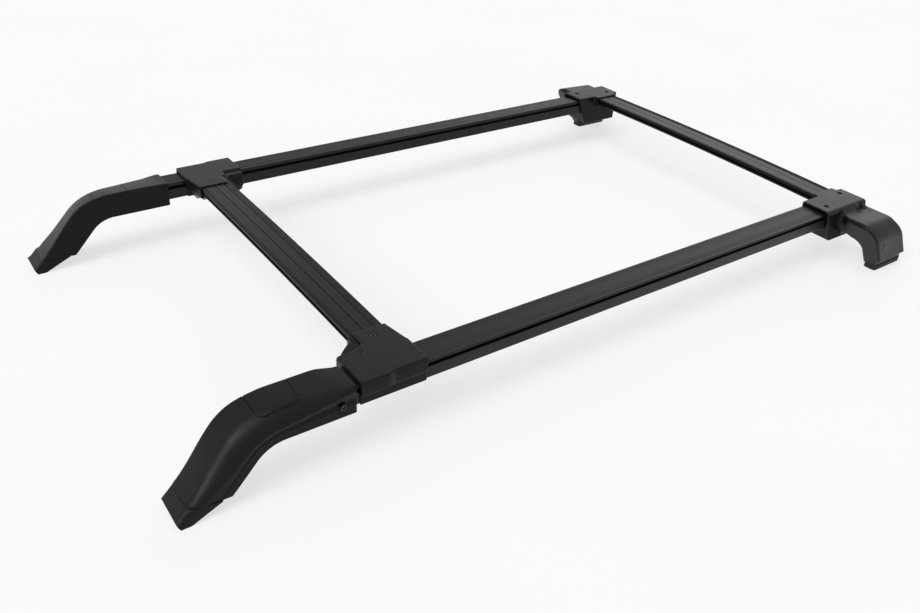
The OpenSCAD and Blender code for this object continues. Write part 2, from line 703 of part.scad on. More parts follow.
// Corner: space of the casting that joins the rail's end to the foot, grown by a clearance
module casting_space(clear = 0) {
    in_y = -rail_w / 2 + 1 - clear;
    low = block_low + 5 - clear;
    translate([casting_front - clear, in_y, low])
        cube([casting_rear - casting_front + 2 * clear, block_out - 5 + clear - in_y,
            casting_top + clear - low]);
    intersection() {
        along_x(-rack_h, 2 * rack_h) arm_outline(cover_wall + seat_gap - clear);
        along_y(0, rack_h) casting_side_outline(clear);
    }
}

// Corner: the block that takes the rail and sleeves the crossbar's end
module corner_block() {
    h = carrier_half_w;
    intersection() {
        translate([0, 0, block_low]) linear_extrude(carrier_top - block_low)
            offset(r = -5, $fn = 32) offset(delta = 5) offset(r = 4, $fn = 32) offset(delta = -4) polygon([
                [-rear_bar_set, -h], [-carrier_side - 4, -h], [-carrier_side, -corner_sleeve],
                [carrier_side, -corner_sleeve], [carrier_side + 4, -h], [block_back, -h],
                [block_back, block_out], [-rear_bar_set, block_out]]);
        along_x(-rear_bar_set, block_back) polygon(concat(
            [[-corner_sleeve, sleeve_floor], [-corner_sleeve, carrier_top - 4],
                [-corner_sleeve + 4, carrier_top]],
            arc([block_out - 10, carrier_top - 10], 10, 90, 0, 7),
            [[block_out, block_low], [-h, block_low], [-h, sleeve_floor]]));
        along_y(-corner_sleeve, block_out) polygon([
            [-rear_bar_set, block_low], [-rear_bar_set, carrier_top - 4], [-rear_bar_set + 4, carrier_top],
            [block_back - 6, carrier_top], [block_back, carrier_top - 6], [block_back, block_low]]);
    }
}

module corner_cover(side) {
    color(moulded) at_side(side, rear_bar_x) difference() {
        union() {
            corner_block();
            intersection() {
                along_x(arm_front, arm_back + foot_rake) arm_outline();
                along_y(arm_root, arm_reach) arm_side_outline();
            }
        }
        // Space for the casting
        casting_space(seat_gap);
        // Socket for the rail
        along_x(-rear_bar_set - 1, -rear_bar_set + rail_in_corner + 1) rail_outline(seat_gap);
        // Socket for the crossbar
        translate([0, -rail_gauge / 2, -rack_h]) intersection() {
            arched(bar_l / 2 + 1) bar_outline(seat_gap);
            translate([-bar_w, 0, 0]) cube([2 * bar_w, rail_gauge, 2 * rack_h]);
        }
        corner_screw_places() {
            translate([0, 0, -corner_screw_set]) cylinder(h = 10, r = 5.4);
            cylinder(h = 60, r = screw_r + shank_gap, center = true);
        }
        keyhole_place() {
            translate([0, 0, -1.5]) cylinder(h = 10, r = 4);
            translate([0, 6, -1.5]) cylinder(h = 10, r = 2.4);
        }
        // Scoop between the block and the arm, and scallop in the block's outer edge
        translate([arm_front - 2, block_out + 6, -30]) cylinder(h = 60, r = 9);
        translate([casting_rear / 2, block_out + 10, -4]) cylinder(h = 40, r = 15);
    }
}

module corner_screw_places() {
    for (p = corner_screw_at) translate([p[0], p[1], carrier_top]) children();
}

module keyhole_place() {
    translate([8, arm_reach, -60]) rotate([-90, 0, 0]) children();
}

module corner_bracket(side) {
    spigot_w = chamber_w - 2 * seat_gap;
    color(cast_alloy) at_side(side, rear_bar_x) difference() {
        union() {
            // Arched casting between the rail's end and the foot
            intersection() {
                casting_space();
                translate([-rack_h, -rack_h, corner_floor_v]) cube([3 * rack_h, 3 * rack_h, rack_h + 20]);
            }
            // Spigot in the rail's end
            translate([casting_front - spigot_l, -spigot_w / 2, chamber_top - chamber_h + seat_gap])
                cube([spigot_l + 1, spigot_w, chamber_h - 2 * seat_gap]);
        }
        translate([corner_screw_at[1][0], corner_screw_at[1][1], 0])
            cylinder(h = 20, r = screw_r + thread_gap, center = true);
        for (m = [-1, 1])
            translate([rear_hole_x + m * rear_hole_pitch / 2, rear_sole_y, corner_floor_v])
                cylinder(h = 2 * rear_hole_depth, r = mount_hole_d / 2, center = true);
    }
}

module rear_foot_pad(side) {
    lip = 2;
    color(rubber_black) at_side(side, rear_bar_x) difference() {
        translate([rear_sole_x, rear_sole_y, -rack_h]) linear_extrude(rear_pad_t - seat_gap)
            rounded_rect(arm_w - 2 * lip, rear_foot_t - toe_in - 2 * lip, 8);
        for (m = [-1, 1])
            translate([rear_hole_x + m * rear_hole_pitch / 2, rear_sole_y, -rack_h])
                cylinder(h = 60, r = mount_hole_d / 2 + 1, center = true);
    }
}

module corner_screws(side) {
    color(fixing_steel) at_side(side, rear_bar_x) corner_screw_places() difference() {
        union() {
            translate([0, 0, -corner_screw_set + 0.05]) cylinder(h = 1.8, r = 4.6);
            translate([0, 0, -12]) cylinder(h = 13 - corner_screw_set, r = screw_r);
        }
        translate([0, 0, -corner_screw_set + 1.85]) hex_socket(2, 1.4);
    }
}

side_rail(LEFT);  // side_rail_left
side_rail(RIGHT);  // side_rail_right
front_foot_cover(LEFT);  // front_foot_cover_left
front_foot_cover(RIGHT);  // front_foot_cover_right
nose_cap(LEFT);  // nose_cap_left
nose_cap(RIGHT);  // nose_cap_right
foot_hatch(LEFT);  // foot_hatch_left
foot_hatch(RIGHT);  // foot_hatch_right
front_foot_bracket(LEFT);  // front_foot_bracket_left
front_foot_bracket(RIGHT);  // front_foot_bracket_right
front_foot_pad(LEFT);  // front_foot_pad_left
front_foot_pad(RIGHT);  // front_foot_pad_right
front_foot_screws(LEFT);  // front_foot_screws_left
front_foot_screws(RIGHT);  // front_foot_screws_right
carrier_cover(LEFT);  // carrier_cover_left
carrier_cover(RIGHT);  // carrier_cover_right
carrier_glide(LEFT);  // carrier_glide_left
carrier_glide(RIGHT);  // carrier_glide_right
carrier_jaw(LEFT);  // carrier_jaw_left
carrier_jaw(RIGHT);  // carrier_jaw_right
carrier_bolt(LEFT);  // carrier_bolt_left
carrier_bolt(RIGHT);  // carrier_bolt_right
front_crossbar();
rear_crossbar();
corner_cover(LEFT);  // corner_cover_left
corner_cover(RIGHT);  // corner_cover_right
corner_bracket(LEFT);  // corner_bracket_left
corner_bracket(RIGHT);  // corner_bracket_right
rear_foot_pad(LEFT);  // rear_foot_pad_left
rear_foot_pad(RIGHT);  // rear_foot_pad_right
corner_screws(LEFT);  // corner_screws_left
corner_screws(RIGHT);  // corner_screws_right
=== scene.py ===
"""Looks of the roof rack: moulded covers, extruded rails and bars, studio floor, light and camera."""
import math

import bpy
import numpy as np
from mathutils import Matrix, Vector


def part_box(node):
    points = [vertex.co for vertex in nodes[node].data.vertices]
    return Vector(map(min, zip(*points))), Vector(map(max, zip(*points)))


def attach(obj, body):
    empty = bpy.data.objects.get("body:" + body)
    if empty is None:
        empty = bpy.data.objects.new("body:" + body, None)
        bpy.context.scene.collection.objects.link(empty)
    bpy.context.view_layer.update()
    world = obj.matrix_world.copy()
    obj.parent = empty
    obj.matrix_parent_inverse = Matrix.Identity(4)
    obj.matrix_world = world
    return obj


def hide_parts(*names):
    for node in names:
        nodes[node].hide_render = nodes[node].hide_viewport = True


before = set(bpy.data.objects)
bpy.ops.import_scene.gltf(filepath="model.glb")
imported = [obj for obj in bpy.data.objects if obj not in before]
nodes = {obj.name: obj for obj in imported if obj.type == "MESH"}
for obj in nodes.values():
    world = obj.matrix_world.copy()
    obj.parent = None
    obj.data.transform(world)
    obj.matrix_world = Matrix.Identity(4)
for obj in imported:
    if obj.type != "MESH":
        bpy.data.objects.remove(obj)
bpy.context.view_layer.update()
MM = 0.001


def box_mm(node):
    """Lowest and highest corner of a node, in millimetres."""
    lo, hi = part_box(node)
    return np.array(lo) / MM, np.array(hi) / MM


rail_lo, rail_hi = box_mm("side_rail_right")
bar_lo, bar_hi = box_mm("front_crossbar")
rear_lo, rear_hi = box_mm("rear_crossbar")

RAIL_Y = (rail_lo[1] + rail_hi[1]) / 2
RAIL_TOP = rail_hi[2]
RAIL_W = rail_hi[1] - rail_lo[1]
RAIL_D = rail_hi[2] - rail_lo[2]
FOOT_END = box_mm("front_foot_cover_right")[1][0]
MOUTH = box_mm("corner_cover_right")[0][0]
FRONT_BAR_X = (bar_lo[0] + bar_hi[0]) / 2
REAR_BAR_X = (rear_lo[0] + rear_hi[0]) / 2
BAR_W = bar_hi[0] - bar_lo[0]
BAR_L = bar_hi[1] - bar_lo[1]
BAR_T = 20
BAR_CROWN = bar_hi[2] - bar_lo[2] - BAR_T
BAR_RISE = 3

# Camera, as the photograph's viewpoint
CAMERA_PLACE = ((FOOT_END - 536.1) * MM, -1.432, 1.014)
CAMERA_YAW = 37.46
CAMERA_PITCH = 32.65
CAMERA_ROLL = 3.92
CAMERA_LENS = 33.40


class Socket:
    """A node's output; its operators add Math nodes to the same tree."""

    def __init__(self, maker, output):
        self.maker = maker
        self.output = output

    def _math(self, operation, *values):
        return self.maker.node("ShaderNodeMath", {"operation": operation}, *values)

    def __add__(self, other):
        return self._math("ADD", self, other)

    def __mul__(self, other):
        return self._math("MULTIPLY", self, other)

    __radd__ = __add__
    __rmul__ = __mul__


class Finish:
    """A Principled material and the one method that adds nodes to it."""

    def __init__(self, name, **constants):
        self.material = bpy.data.materials.new(name)
        self.material.use_nodes = True
        self.tree = self.material.node_tree
        self.shader = self.tree.nodes["Principled BSDF"]
        self.place = self.node("ShaderNodeTexCoord", {}, out="Object")
        for socket, value in constants.items():
            self.shader.inputs[socket.replace("_", " ")].default_value = value

    def node(self, kind, settings, *values, out=0, **named):
        """Adds a node of a kind, applies its settings, then sets or links its sockets."""
        made = self.tree.nodes.new(kind)
        for key, value in settings.items():
            setattr(made, key, value)
        inputs = dict(enumerate(values))
        inputs.update({key.replace("_", " "): value for key, value in named.items()})
        for key, value in inputs.items():
            if isinstance(value, Socket):
                self.tree.links.new(value.output, made.inputs[key])
            else:
                made.inputs[key].default_value = value
        return Socket(self, made.outputs[out])

    def stretched(self, x, y, z):
        """Object coordinates, scaled by one factor for each axis."""
        return self.node("ShaderNodeMapping", {}, self.place, Scale=(x, y, z))

    def noise(self, scale, detail=3.0, at=None, rough=0.55):
        """Noise from 0 to 1, with scale in waves per metre."""
        return self.node("ShaderNodeTexNoise", {}, out="Fac", Vector=at or self.place, Scale=scale,
                         Detail=detail, Roughness=rough)

    def ramp(self, value, low, high, to_low, to_high):
        """Value from low..high mapped to to_low..to_high and clamped there."""
        return self.node("ShaderNodeMapRange", {}, value, low, high, to_low, to_high, out="Result")

    def blend(self, factor, first, second):
        """Colour between two colours."""
        made = self.tree.nodes.new("ShaderNodeMix")
        made.data_type = "RGBA"
        for key, value in ((0, factor), (6, first), (7, second)):
            if isinstance(value, Socket):
                self.tree.links.new(value.output, made.inputs[key])
            else:
                made.inputs[key].default_value = (*value, 1) if key else value
        return Socket(self, made.outputs[2])

    def bump(self, height, strength, distance):
        """Normal disturbed by a height; distance is the relief in metres."""
        return self.node("ShaderNodeBump", {}, out="Normal", Height=height, Strength=strength,
                         Distance=distance)

    def set(self, **sockets):
        """Links varying values to the shader."""
        for key, value in sockets.items():
            self.tree.links.new(value.output, self.shader.inputs[key.replace("_", " ")])
        return self.material


def moulded_plastic(name, tone, rough):
    """Injection-moulded plastic: even dark colour, a fine spark-eroded grain and slow changes of gloss."""
    f = Finish(name, Metallic=0.0, Specular_IOR_Level=0.15)
    cloud = f.noise(14.0, 2.0)
    speck = f.noise(2400.0, 2.0)
    grain = f.node("ShaderNodeTexVoronoi", {"feature": "F1"}, out="Distance", Vector=f.place, Scale=1500.0)
    shade = f.ramp(cloud * 0.6 + speck * 0.4, 0.35, 0.65, 0.0, 1.0)
    dark, light = [tone * k for k in (0.86, 0.86, 0.88)], [tone * k for k in (1.14, 1.14, 1.17)]
    return f.set(
        Base_Color=f.blend(shade, dark, light),
        Roughness=f.ramp(cloud * 0.7 + speck * 0.3, 0.3, 0.7, rough - 0.035, rough + 0.035),
        Normal=f.bump(grain + speck * 0.5, 0.22, 0.00006))


# Waves per metre of the die lines and of the broader streaks, along and across an extrusion
DIE_LINES = (6.0, 1500.0)
STREAKS = (1.5, 260.0)


def drawn_aluminium(name, tone, rough, sheen, along):
    """Anodised extrusion: die lines run along it, with faint streaks of colour and gloss."""
    f = Finish(name, Metallic=0.0, Specular_IOR_Level=sheen)
    fine, coarse = ([waves[0] if axis == along else waves[1] for axis in "xyz"]
                    for waves in (DIE_LINES, STREAKS))
    lines = f.noise(1.0, 2.0, f.stretched(*fine))
    streaks = f.noise(1.0, 3.0, f.stretched(*coarse))
    cloud = f.noise(9.0, 2.0)
    shade = f.ramp(streaks * 0.7 + cloud * 0.3, 0.35, 0.65, 0.0, 1.0)
    dark, light = [tone * k for k in (0.8, 0.8, 0.82)], [tone * k for k in (1.2, 1.2, 1.22)]
    return f.set(
        Base_Color=f.blend(shade, dark, light),
        Roughness=f.ramp(streaks, 0.3, 0.7, rough - 0.05, rough + 0.05),
        Normal=f.bump(lines * 0.6 + streaks * 0.4, 0.3, 0.00005))


def cast_alloy():
    """Sand-cast aluminium: a lumpy grey skin with shallow pits."""
    f = Finish("cast alloy", Metallic=0.85)
    lumps = f.noise(420.0, 4.0)
    pits = f.node("ShaderNodeTexVoronoi", {"feature": "F1"}, out="Distance", Vector=f.place, Scale=260.0)
    shade = f.ramp(lumps, 0.3, 0.7, 0.0, 1.0)
    return f.set(
        Base_Color=f.blend(shade, (0.16, 0.16, 0.165), (0.27, 0.27, 0.275)),
        Roughness=f.ramp(lumps, 0.3, 0.7, 0.42, 0.6),
        Normal=f.bump(lumps + f.ramp(pits, 0.0, 0.25, 0.0, 0.6), 0.5, 0.0002))


def pad_rubber():
    """Moulded rubber: nearly black, matt, with a dusty bloom in patches."""
    f = Finish("pad rubber", Metallic=0.0)
    bloom = f.noise(60.0, 4.0)
    pores = f.noise(1900.0, 3.0)
    shade = f.ramp(bloom, 0.4, 0.75, 0.0, 1.0)
    return f.set(
        Base_Color=f.blend(shade, (0.010, 0.010, 0.011), (0.024, 0.024, 0.025)),
        Roughness=f.ramp(bloom, 0.3, 0.7, 0.72, 0.88),
        Normal=f.bump(pores, 0.35, 0.0001))


def blackened_steel():
    """Black zinc screws: dark metal with turned marks and rubbed spots."""
    f = Finish("blackened steel", Metallic=0.9)
    marks = f.noise(1.0, 3.0, f.stretched(900.0, 900.0, 900.0))
    rubbed = f.noise(240.0, 3.0)
    shade = f.ramp(rubbed, 0.5, 0.8, 0.0, 1.0)
    return f.set(
        Base_Color=f.blend(shade, (0.035, 0.035, 0.038), (0.11, 0.11, 0.115)),
        Roughness=f.ramp(marks, 0.3, 0.7, 0.3, 0.45),
        Normal=f.bump(marks, 0.25, 0.00005))


BACKGROUND_RAYS = ("Is Camera Ray", "Is Glossy Ray", "Is Transmission Ray")
FLOOR_SHADE = (0.345, 0.355)
FLOOR_GLOW_UNSEEN, FLOOR_GLOW_SEEN = 0.12, 0.66


def studio_floor():
    """Seamless pale floor with a faint unevenness. It glows white for the camera and in reflections, and
    weakly for other rays, so that it lights the rack only a little."""
    f = Finish("studio floor", Metallic=0.0, Specular_IOR_Level=0.0, Emission_Strength=1.0)
    cloud = f.noise(1.3, 2.0)
    ray = [f.node("ShaderNodeLightPath", {}, out=name) for name in BACKGROUND_RAYS]
    seen = ray[0] + ray[1] + ray[2]
    return f.set(
        Base_Color=f.blend(f.ramp(cloud, 0.3, 0.7, 0.0, 1.0), *((shade,) * 3 for shade in FLOOR_SHADE)),
        Emission_Color=f.blend(seen, (FLOOR_GLOW_UNSEEN,) * 3, (FLOOR_GLOW_SEEN,) * 3),
        Roughness=f.ramp(cloud, 0.3, 0.7, 0.75, 0.85))


# Base colour and roughness of each finish, and the sheen of the extrusions
covers_black = moulded_plastic("moulded black", 0.006, 0.36)
caps_black = moulded_plastic("cap black", 0.006, 0.42)
rail_black = drawn_aluminium("rail black", 0.008, 0.34, 0.24, "x")
bar_black = drawn_aluminium("bar black", 0.005, 0.36, 0.15, "y")
alloy_grey = cast_alloy()
rubber_black = pad_rubber()
steel_black = blackened_steel()


def arc(cx, cy, r, start, end, steps):
    """Points of an arc, angles in degrees."""
    a = np.radians(np.linspace(start, end, steps + 1))
    return np.stack([cx + r * np.cos(a), cy + r * np.sin(a)], 1)


def dressed(name, points, faces, material, body, replaced, sharp=35.0):
    """Puts a mesh in millimetres into the scene as a piece of a body."""
    mesh = bpy.data.meshes.new(name)
    mesh.from_pydata((np.asarray(points) * MM).tolist(), [], faces)
    mesh.validate()
    mesh.materials.append(material)
    mesh.shade_smooth()
    mesh.set_sharp_from_angle(angle=math.radians(sharp))
    piece = bpy.data.objects.new(name, mesh)
    bpy.context.scene.collection.objects.link(piece)
    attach(piece, body)
    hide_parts(replaced)


def wrapped(stations, outward=True):
    """Faces of a skin over closed sections: stations has one section a row, and both ends get a cap."""
    rows, columns = stations.shape[:2]
    i, j = np.meshgrid(np.arange(rows - 1), np.arange(columns), indexing="ij")
    k = (j + 1) % columns
    quads = np.stack([i * columns + j, i * columns + k, (i + 1) * columns + k, (i + 1) * columns + j], -1)
    quads = quads.reshape(-1, 4)
    first = np.arange(columns)[::-1]
    last = (rows - 1) * columns + np.arange(columns)
    if not outward:
        quads, first, last = quads[:, ::-1], first[::-1], last[::-1]
    return stations.reshape(-1, 3), quads.tolist() + [first.tolist(), last.tolist()]


def turned(points, side, place):
    """Local points to the rack's frame: x to the rear from place, y outboard, z up from the rail's top."""
    return points * (1, side, 1) + (place, side * RAIL_Y, RAIL_TOP)


def half_turned(points, side, place):
    """As turned, but the left piece is the right one turned half round."""
    return points * (side, side, 1) + (place, side * RAIL_Y, RAIL_TOP)


# Rails and bars: closed outlines carried along the rack

SLOT_TOP, SLOT_H, SLOT_DEPTH, SLOT_LIP, SLOT_WIDER = -7.5, 8, 10, 2.6, 1.8
RAIL_FALL = 3


def slot_outline(edge, middle, height, depth, lip, wider):
    """T-slot cut into a side at y = edge, from its lower to its upper lip."""
    s = np.sign(edge)
    h, b = height / 2, height / 2 + wider
    inside = [(0, -h), (lip, -h), (lip, -b), (depth, -b), (depth, b), (lip, b), (lip, h), (0, h)]
    return np.array([(edge - s * a, middle + c) for a, c in inside])


def ridged(y0, y1, pitch, depth, top):
    """Points along a top face whose height falls by depth once in each pitch."""
    y = np.linspace(y0, y1, max(3, int(abs(y1 - y0) / pitch * 6)))
    return np.stack([y, top(y) - depth * 0.5 * (1 - np.cos(2 * np.pi * (y - y0) / pitch))], 1)


def rail_outline():
    """Rail section, clockwise from the lower inboard corner: sides with T-slots and a finely ridged top."""
    h, r = RAIL_W / 2, 2.4
    top = lambda y: -RAIL_FALL * (y + h) / (2 * h)
    middle = SLOT_TOP - SLOT_H / 2
    slot = lambda edge: slot_outline(edge, middle, SLOT_H, SLOT_DEPTH, SLOT_LIP, SLOT_WIDER)
    return np.concatenate([
        arc(-h + r, -RAIL_D + r, r, 270, 180, 6), slot(-h), arc(-h + r, top(-h) - r, r, 180, 90, 6),
        ridged(-h + 4.5, h - 4.5, 2.6, 0.45, top),
        arc(h - r, top(h) - r, r, 90, 0, 6), slot(h)[::-1], arc(h - r, -RAIL_D + r, r, 0, -90, 6)])


def bar_outline():
    """Crossbar section: rounded lower edges, slots in both sides, and three panels on top, parted by grooves,
    of which the rear one is finely ridged."""
    h, r, low = BAR_W / 2, 1.8, 6
    level = lambda y: 0 * y
    groove = lambda share, w=0.9, d=1.5: np.array([(BAR_W * (share - 0.5) + a, c) for a, c in (
        (-w, 0), (-w * 0.6, -d), (w * 0.6, -d), (w, 0))])
    slot = lambda edge: slot_outline(edge, -BAR_T / 2, 7, 8, 2.2, 0)
    return np.concatenate([
        arc(-h + low, -BAR_T + low, low, 270, 180, 8), slot(-h), arc(-h + r, -r, r, 180, 90, 5),
        groove(0.055, 0.6, 1.0), groove(0.095, 0.5, 0.7), groove(0.44), groove(0.755),
        ridged(BAR_W * 0.275, BAR_W * 0.46, 2.3, 0.5, level),
        arc(h - r, -r, r, 90, 0, 5), slot(h)[::-1], arc(h - low, -BAR_T + low, low, 0, -90, 8)])


def make_rails():
    """Rails: the rail's outline carried straight along x between the rail's two ends."""
    outline = rail_outline()
    for side, name in ((-1, "left"), (1, "right")):
        x = np.linspace(rail_lo[0], rail_hi[0], 24) - FOOT_END
        points = np.zeros((len(x), len(outline), 3))
        points[..., 0] = x[:, None]
        points[..., 1:] = outline
        verts, faces = wrapped(turned(points, side, FOOT_END), outward=side > 0)
        dressed("rail_" + name, verts, faces, rail_black, "rack", "side_rail_" + name, 28)


def make_bars():
    """Crossbars: the bar's outline carried along an arc that is higher in its middle by the bar's crown."""
    outline = bar_outline()
    radius = ((BAR_L / 2) ** 2 + BAR_CROWN ** 2) / (2 * BAR_CROWN)
    for name, x, body in (("front", FRONT_BAR_X, "front_bar"), ("rear", REAR_BAR_X, "rack")):
        a = np.linspace(-1, 1, 49) * math.asin(BAR_L / 2 / radius)
        points = np.zeros((len(a), len(outline), 3))
        reach = radius + outline[:, 1]
        points[..., 0] = x + outline[:, 0]
        points[..., 1] = np.sin(a)[:, None] * reach
        points[..., 2] = RAIL_TOP + BAR_RISE + BAR_CROWN - radius + np.cos(a)[:, None] * reach
        verts, faces = wrapped(points, outward=False)
        dressed("crossbar_" + name, verts, faces, bar_black, body, name + "_crossbar", 28)


# Front feet: sections of a thin shell, square to a path that runs straight, bends and falls to the nose.
# The straight part ends at STRAIGHT_SHARE of the cover's length and the bend at BEND_SHARE.

FOOT_W, NOSE_W, FOOT_T, COVER_RISE = 68, 74, 54, 3
FOOT_STRAIGHT, BEND_R, LEG = 128, 122, math.radians(46.5)
STRAIGHT_SHARE, BEND_SHARE = 0.42, 0.64
SEAM_H, HEEL_H, TIP_H = 30, 26, 10
WALL = 4
HATCH_MID, HATCH_L, HATCH_OUT, HATCH_R, LID_T = FOOT_STRAIGHT, 72, 19, 12, 3.6


def foot_lines(s):
    """Upper and lower line (u, v) at share s of the length: straight, an arc, then the falling leg."""
    bend = np.array([FOOT_STRAIGHT, COVER_RISE - BEND_R])
    leg = np.array([math.cos(LEG), -math.sin(LEG)])
    normal = np.array([math.sin(LEG), math.cos(LEG)])
    lines = []
    for r, end_h in ((BEND_R, SEAM_H), (BEND_R - FOOT_T, HEEL_H)):
        start = bend + r * normal
        run = (start[1] + RAIL_TOP - end_h) / math.sin(LEG)
        a = np.clip((s - STRAIGHT_SHARE) / (BEND_SHARE - STRAIGHT_SHARE), 0, 1)[:, None] * LEG
        t = np.clip((s - BEND_SHARE) / (1 - BEND_SHARE), 0, 1)[:, None] * run
        u = np.clip(s / STRAIGHT_SHARE, 0, 1)[:, None] * FOOT_STRAIGHT
        on_arc = bend + r * np.concatenate([np.sin(a), np.cos(a)], 1)
        on_flat = np.concatenate([u, 0 * u + COVER_RISE - (BEND_R - r)], 1)
        flat, curve = (s <= STRAIGHT_SHARE)[:, None], (s <= BEND_SHARE)[:, None]
        lines.append(np.where(flat, on_flat, np.where(curve, on_arc, start + leg * t)))
    return lines


def smooth(t):
    """Soft step from 0 to 1: three t squared less two t cubed."""
    t = np.clip(t, 0, 1)
    return t * t * (3 - 2 * t)


INNER_EDGE = 4.5
SOFT_START, SOFT_GROWS, SOFT_SHRINKS = 8, 19, 9


def foot_frame(s):
    """For each share s of the length: the upper and lower line, the direction and height across, half the
    width, and the radius of the outboard upper edge, which grows towards the bend and shrinks on the leg."""
    upper, lower = foot_lines(s)
    across = upper - lower
    height = np.linalg.norm(across, axis=1)
    half = (FOOT_W + (NOSE_W - FOOT_W) * smooth((s - STRAIGHT_SHARE) / (1 - STRAIGHT_SHARE))) / 2
    soft = SOFT_START + SOFT_GROWS * smooth(s / 0.5) - SOFT_SHRINKS * smooth((s - 0.76) / 0.24)
    return upper, lower, across / height[:, None], height, half, soft


def crown(y, height, half, soft):
    """Height of the cover's top at distance y from its middle: flat between its two rounded edges."""
    inner = np.clip(-half + INNER_EDGE - y, 0, INNER_EDGE)
    outer = np.clip(y - half + soft, 0, soft)
    inner_drop = INNER_EDGE - np.sqrt(INNER_EDGE ** 2 - inner ** 2)
    outer_drop = soft - np.sqrt(soft ** 2 - outer ** 2)
    return height - inner_drop - outer_drop


ARCH_RISE, BEND_RISE, ARCH_BULGE, TOP_FALL = 4.9, 4.5, 7, 4


def swelled(section, s, height, half):
    """The section's upper part moved: its inboard edge rises and bulges inboard along the middle of the foot,
    and its outboard edge falls, each in proportion to the height."""
    y, h = section[..., 0], section[..., 1]
    share = np.clip((half[:, None] - y) / (2 * half[:, None]), 0, 1)
    grip = np.clip(h / height[:, None], 0, 1)
    start, end = smooth(s / 0.16), 1 - smooth((s - 0.60) / 0.38)
    rise = (ARCH_RISE * start + BEND_RISE * smooth((s - 0.46) / 0.12)) * end
    bulge = ARCH_BULGE * start * end
    fall = TOP_FALL * start
    return np.stack([y - bulge[:, None] * share * grip,
                     h + grip * (rise[:, None] * share - fall[:, None] * (1 - share) ** 2)], -1)


def lid_distance(u, y):
    """Distance outside the lid's outline, open to the inboard edge and round at its outboard corners."""
    q_u = np.abs(u - HATCH_MID) - (HATCH_L / 2 - HATCH_R)
    q_y = y - (HATCH_OUT - HATCH_R)
    return np.hypot(np.maximum(q_u, 0), np.maximum(q_y, 0)) + np.minimum(np.maximum(q_u, q_y), 0) - HATCH_R


def share_at(u):
    """Share of the cover's length where its upper line is at u, on the straight part or on the bend."""
    angle = np.arcsin(np.clip((u - FOOT_STRAIGHT) / BEND_R, 0, 1))
    return np.where(u <= FOOT_STRAIGHT, STRAIGHT_SHARE * u / FOOT_STRAIGHT,
                    STRAIGHT_SHARE + (BEND_SHARE - STRAIGHT_SHARE) * angle / LEG)


def placed(section, lower, across):
    """Sections of (y, height) to local points: x to the rear, y outboard, z above the rail's top."""
    return np.stack([-(lower[:, None, 0] + across[:, None, 0] * section[..., 1]), section[..., 0],
                     lower[:, None, 1] + across[:, None, 1] * section[..., 1]], -1)


# Sections stand closer together near the lid's ends and at the cover's rim
FINE_REACH, FINE_STEP = 14, 0.5
RIM_SHARES = (0.002, 0.005, 0.009)
RIM, LID_GAP = 0.8, 0.9
# Share of the cover's length that is filled by the rail's end
RAIL_SHARE = 0.2


def make_feet():
    """Foot covers: shell sections along the path, with a recess under the lid and a waist in the side."""
    lid_ends = [HATCH_MID + k * HATCH_L / 2 for k in (-1, 1)]
    near_ends = [share_at(np.arange(end - FINE_REACH, end + FINE_REACH, FINE_STEP)) for end in lid_ends]
    s = np.unique(np.round(np.concatenate([np.linspace(0, 1, 130), *near_ends, RIM_SHARES]), 5))
    upper, lower, across, height, half, soft = foot_frame(s)
    rim = RIM * (1 - smooth(s / RIM_SHARES[-1])) + 0.5 * smooth((s - 0.995) / 0.005)
    half = half - rim
    tuck = 4.2 - 2.6 * smooth((s - 0.1) / 0.5)
    ear = 22 - 6 * smooth(s / 0.5)
    side_in = np.linspace(0, 1, 6)[None, :-1] * (height - INNER_EDGE)[:, None]
    a = np.radians(np.linspace(180, 90, 8))
    b = np.radians(np.linspace(90, 0, 28))
    flat = np.linspace(0, 1, 74)[None, 1:-1] * (2 * half - INNER_EDGE - soft)[:, None]
    y = np.concatenate([
        -half[:, None] + 0 * side_in, (-half + INNER_EDGE)[:, None] + INNER_EDGE * np.cos(a),
        (-half + INNER_EDGE)[:, None] + flat, (half - soft)[:, None] + soft[:, None] * np.cos(b)], 1)
    on_side = side_in.shape[1]
    over_top = crown(y[:, on_side:], height[:, None], half[:, None], soft[:, None])
    h = np.concatenate([side_in, over_top], 1)
    h[:, -1] = height - soft
    h[:, on_side] = height - INNER_EDGE
    # Outboard side: a hollow waist under the soft edge, then the flat panel with the screw
    run = (height - soft)[:, None] * (1 - np.linspace(0, 1, 26)[1:])
    fall = (height - soft)[:, None] - run
    waist = smooth(fall / np.maximum(height - soft - ear, 4)[:, None])
    waist = waist * (1 - smooth((ear[:, None] + 3 - run) / 6))
    side = half[:, None] - tuck[:, None] * waist - 0.6 * smooth((ear[:, None] - run) / 6)
    outer = np.stack([np.concatenate([y, side], 1), np.concatenate([h, run], 1)], -1)
    on_top = outer[..., 1] > (height - 16)[:, None]
    distance = lid_distance(upper[:, :1], outer[..., 0])
    outer[..., 1] -= LID_T * smooth((LID_GAP - distance) / 1.3) * on_top
    outer[..., 1] -= rim[:, None] * (outer[..., 1] > (height / 2)[:, None])
    in_half = np.where(s < RAIL_SHARE, RAIL_W / 2 + 0.6, half - WALL)
    roof = np.where(s < RAIL_SHARE, height - COVER_RISE + 0.3, height - 8)
    inner = [(in_half, 0 * s), (in_half, roof * 0.5), (in_half - 2, roof), (-in_half + 2, roof),
             (-in_half, roof * 0.5), (-in_half, 0 * s)]
    section = np.concatenate([outer, np.stack([np.stack(c, -1) for c in inner], 1)], 1)
    points = placed(swelled(section, s, height, half), lower, across)
    for side, name in ((-1, "left"), (1, "right")):
        verts, faces = wrapped(turned(points, side, FOOT_END), outward=side < 0)
        dressed("foot_" + name, verts, faces, covers_black, "rack", "front_foot_cover_" + name,
                50)


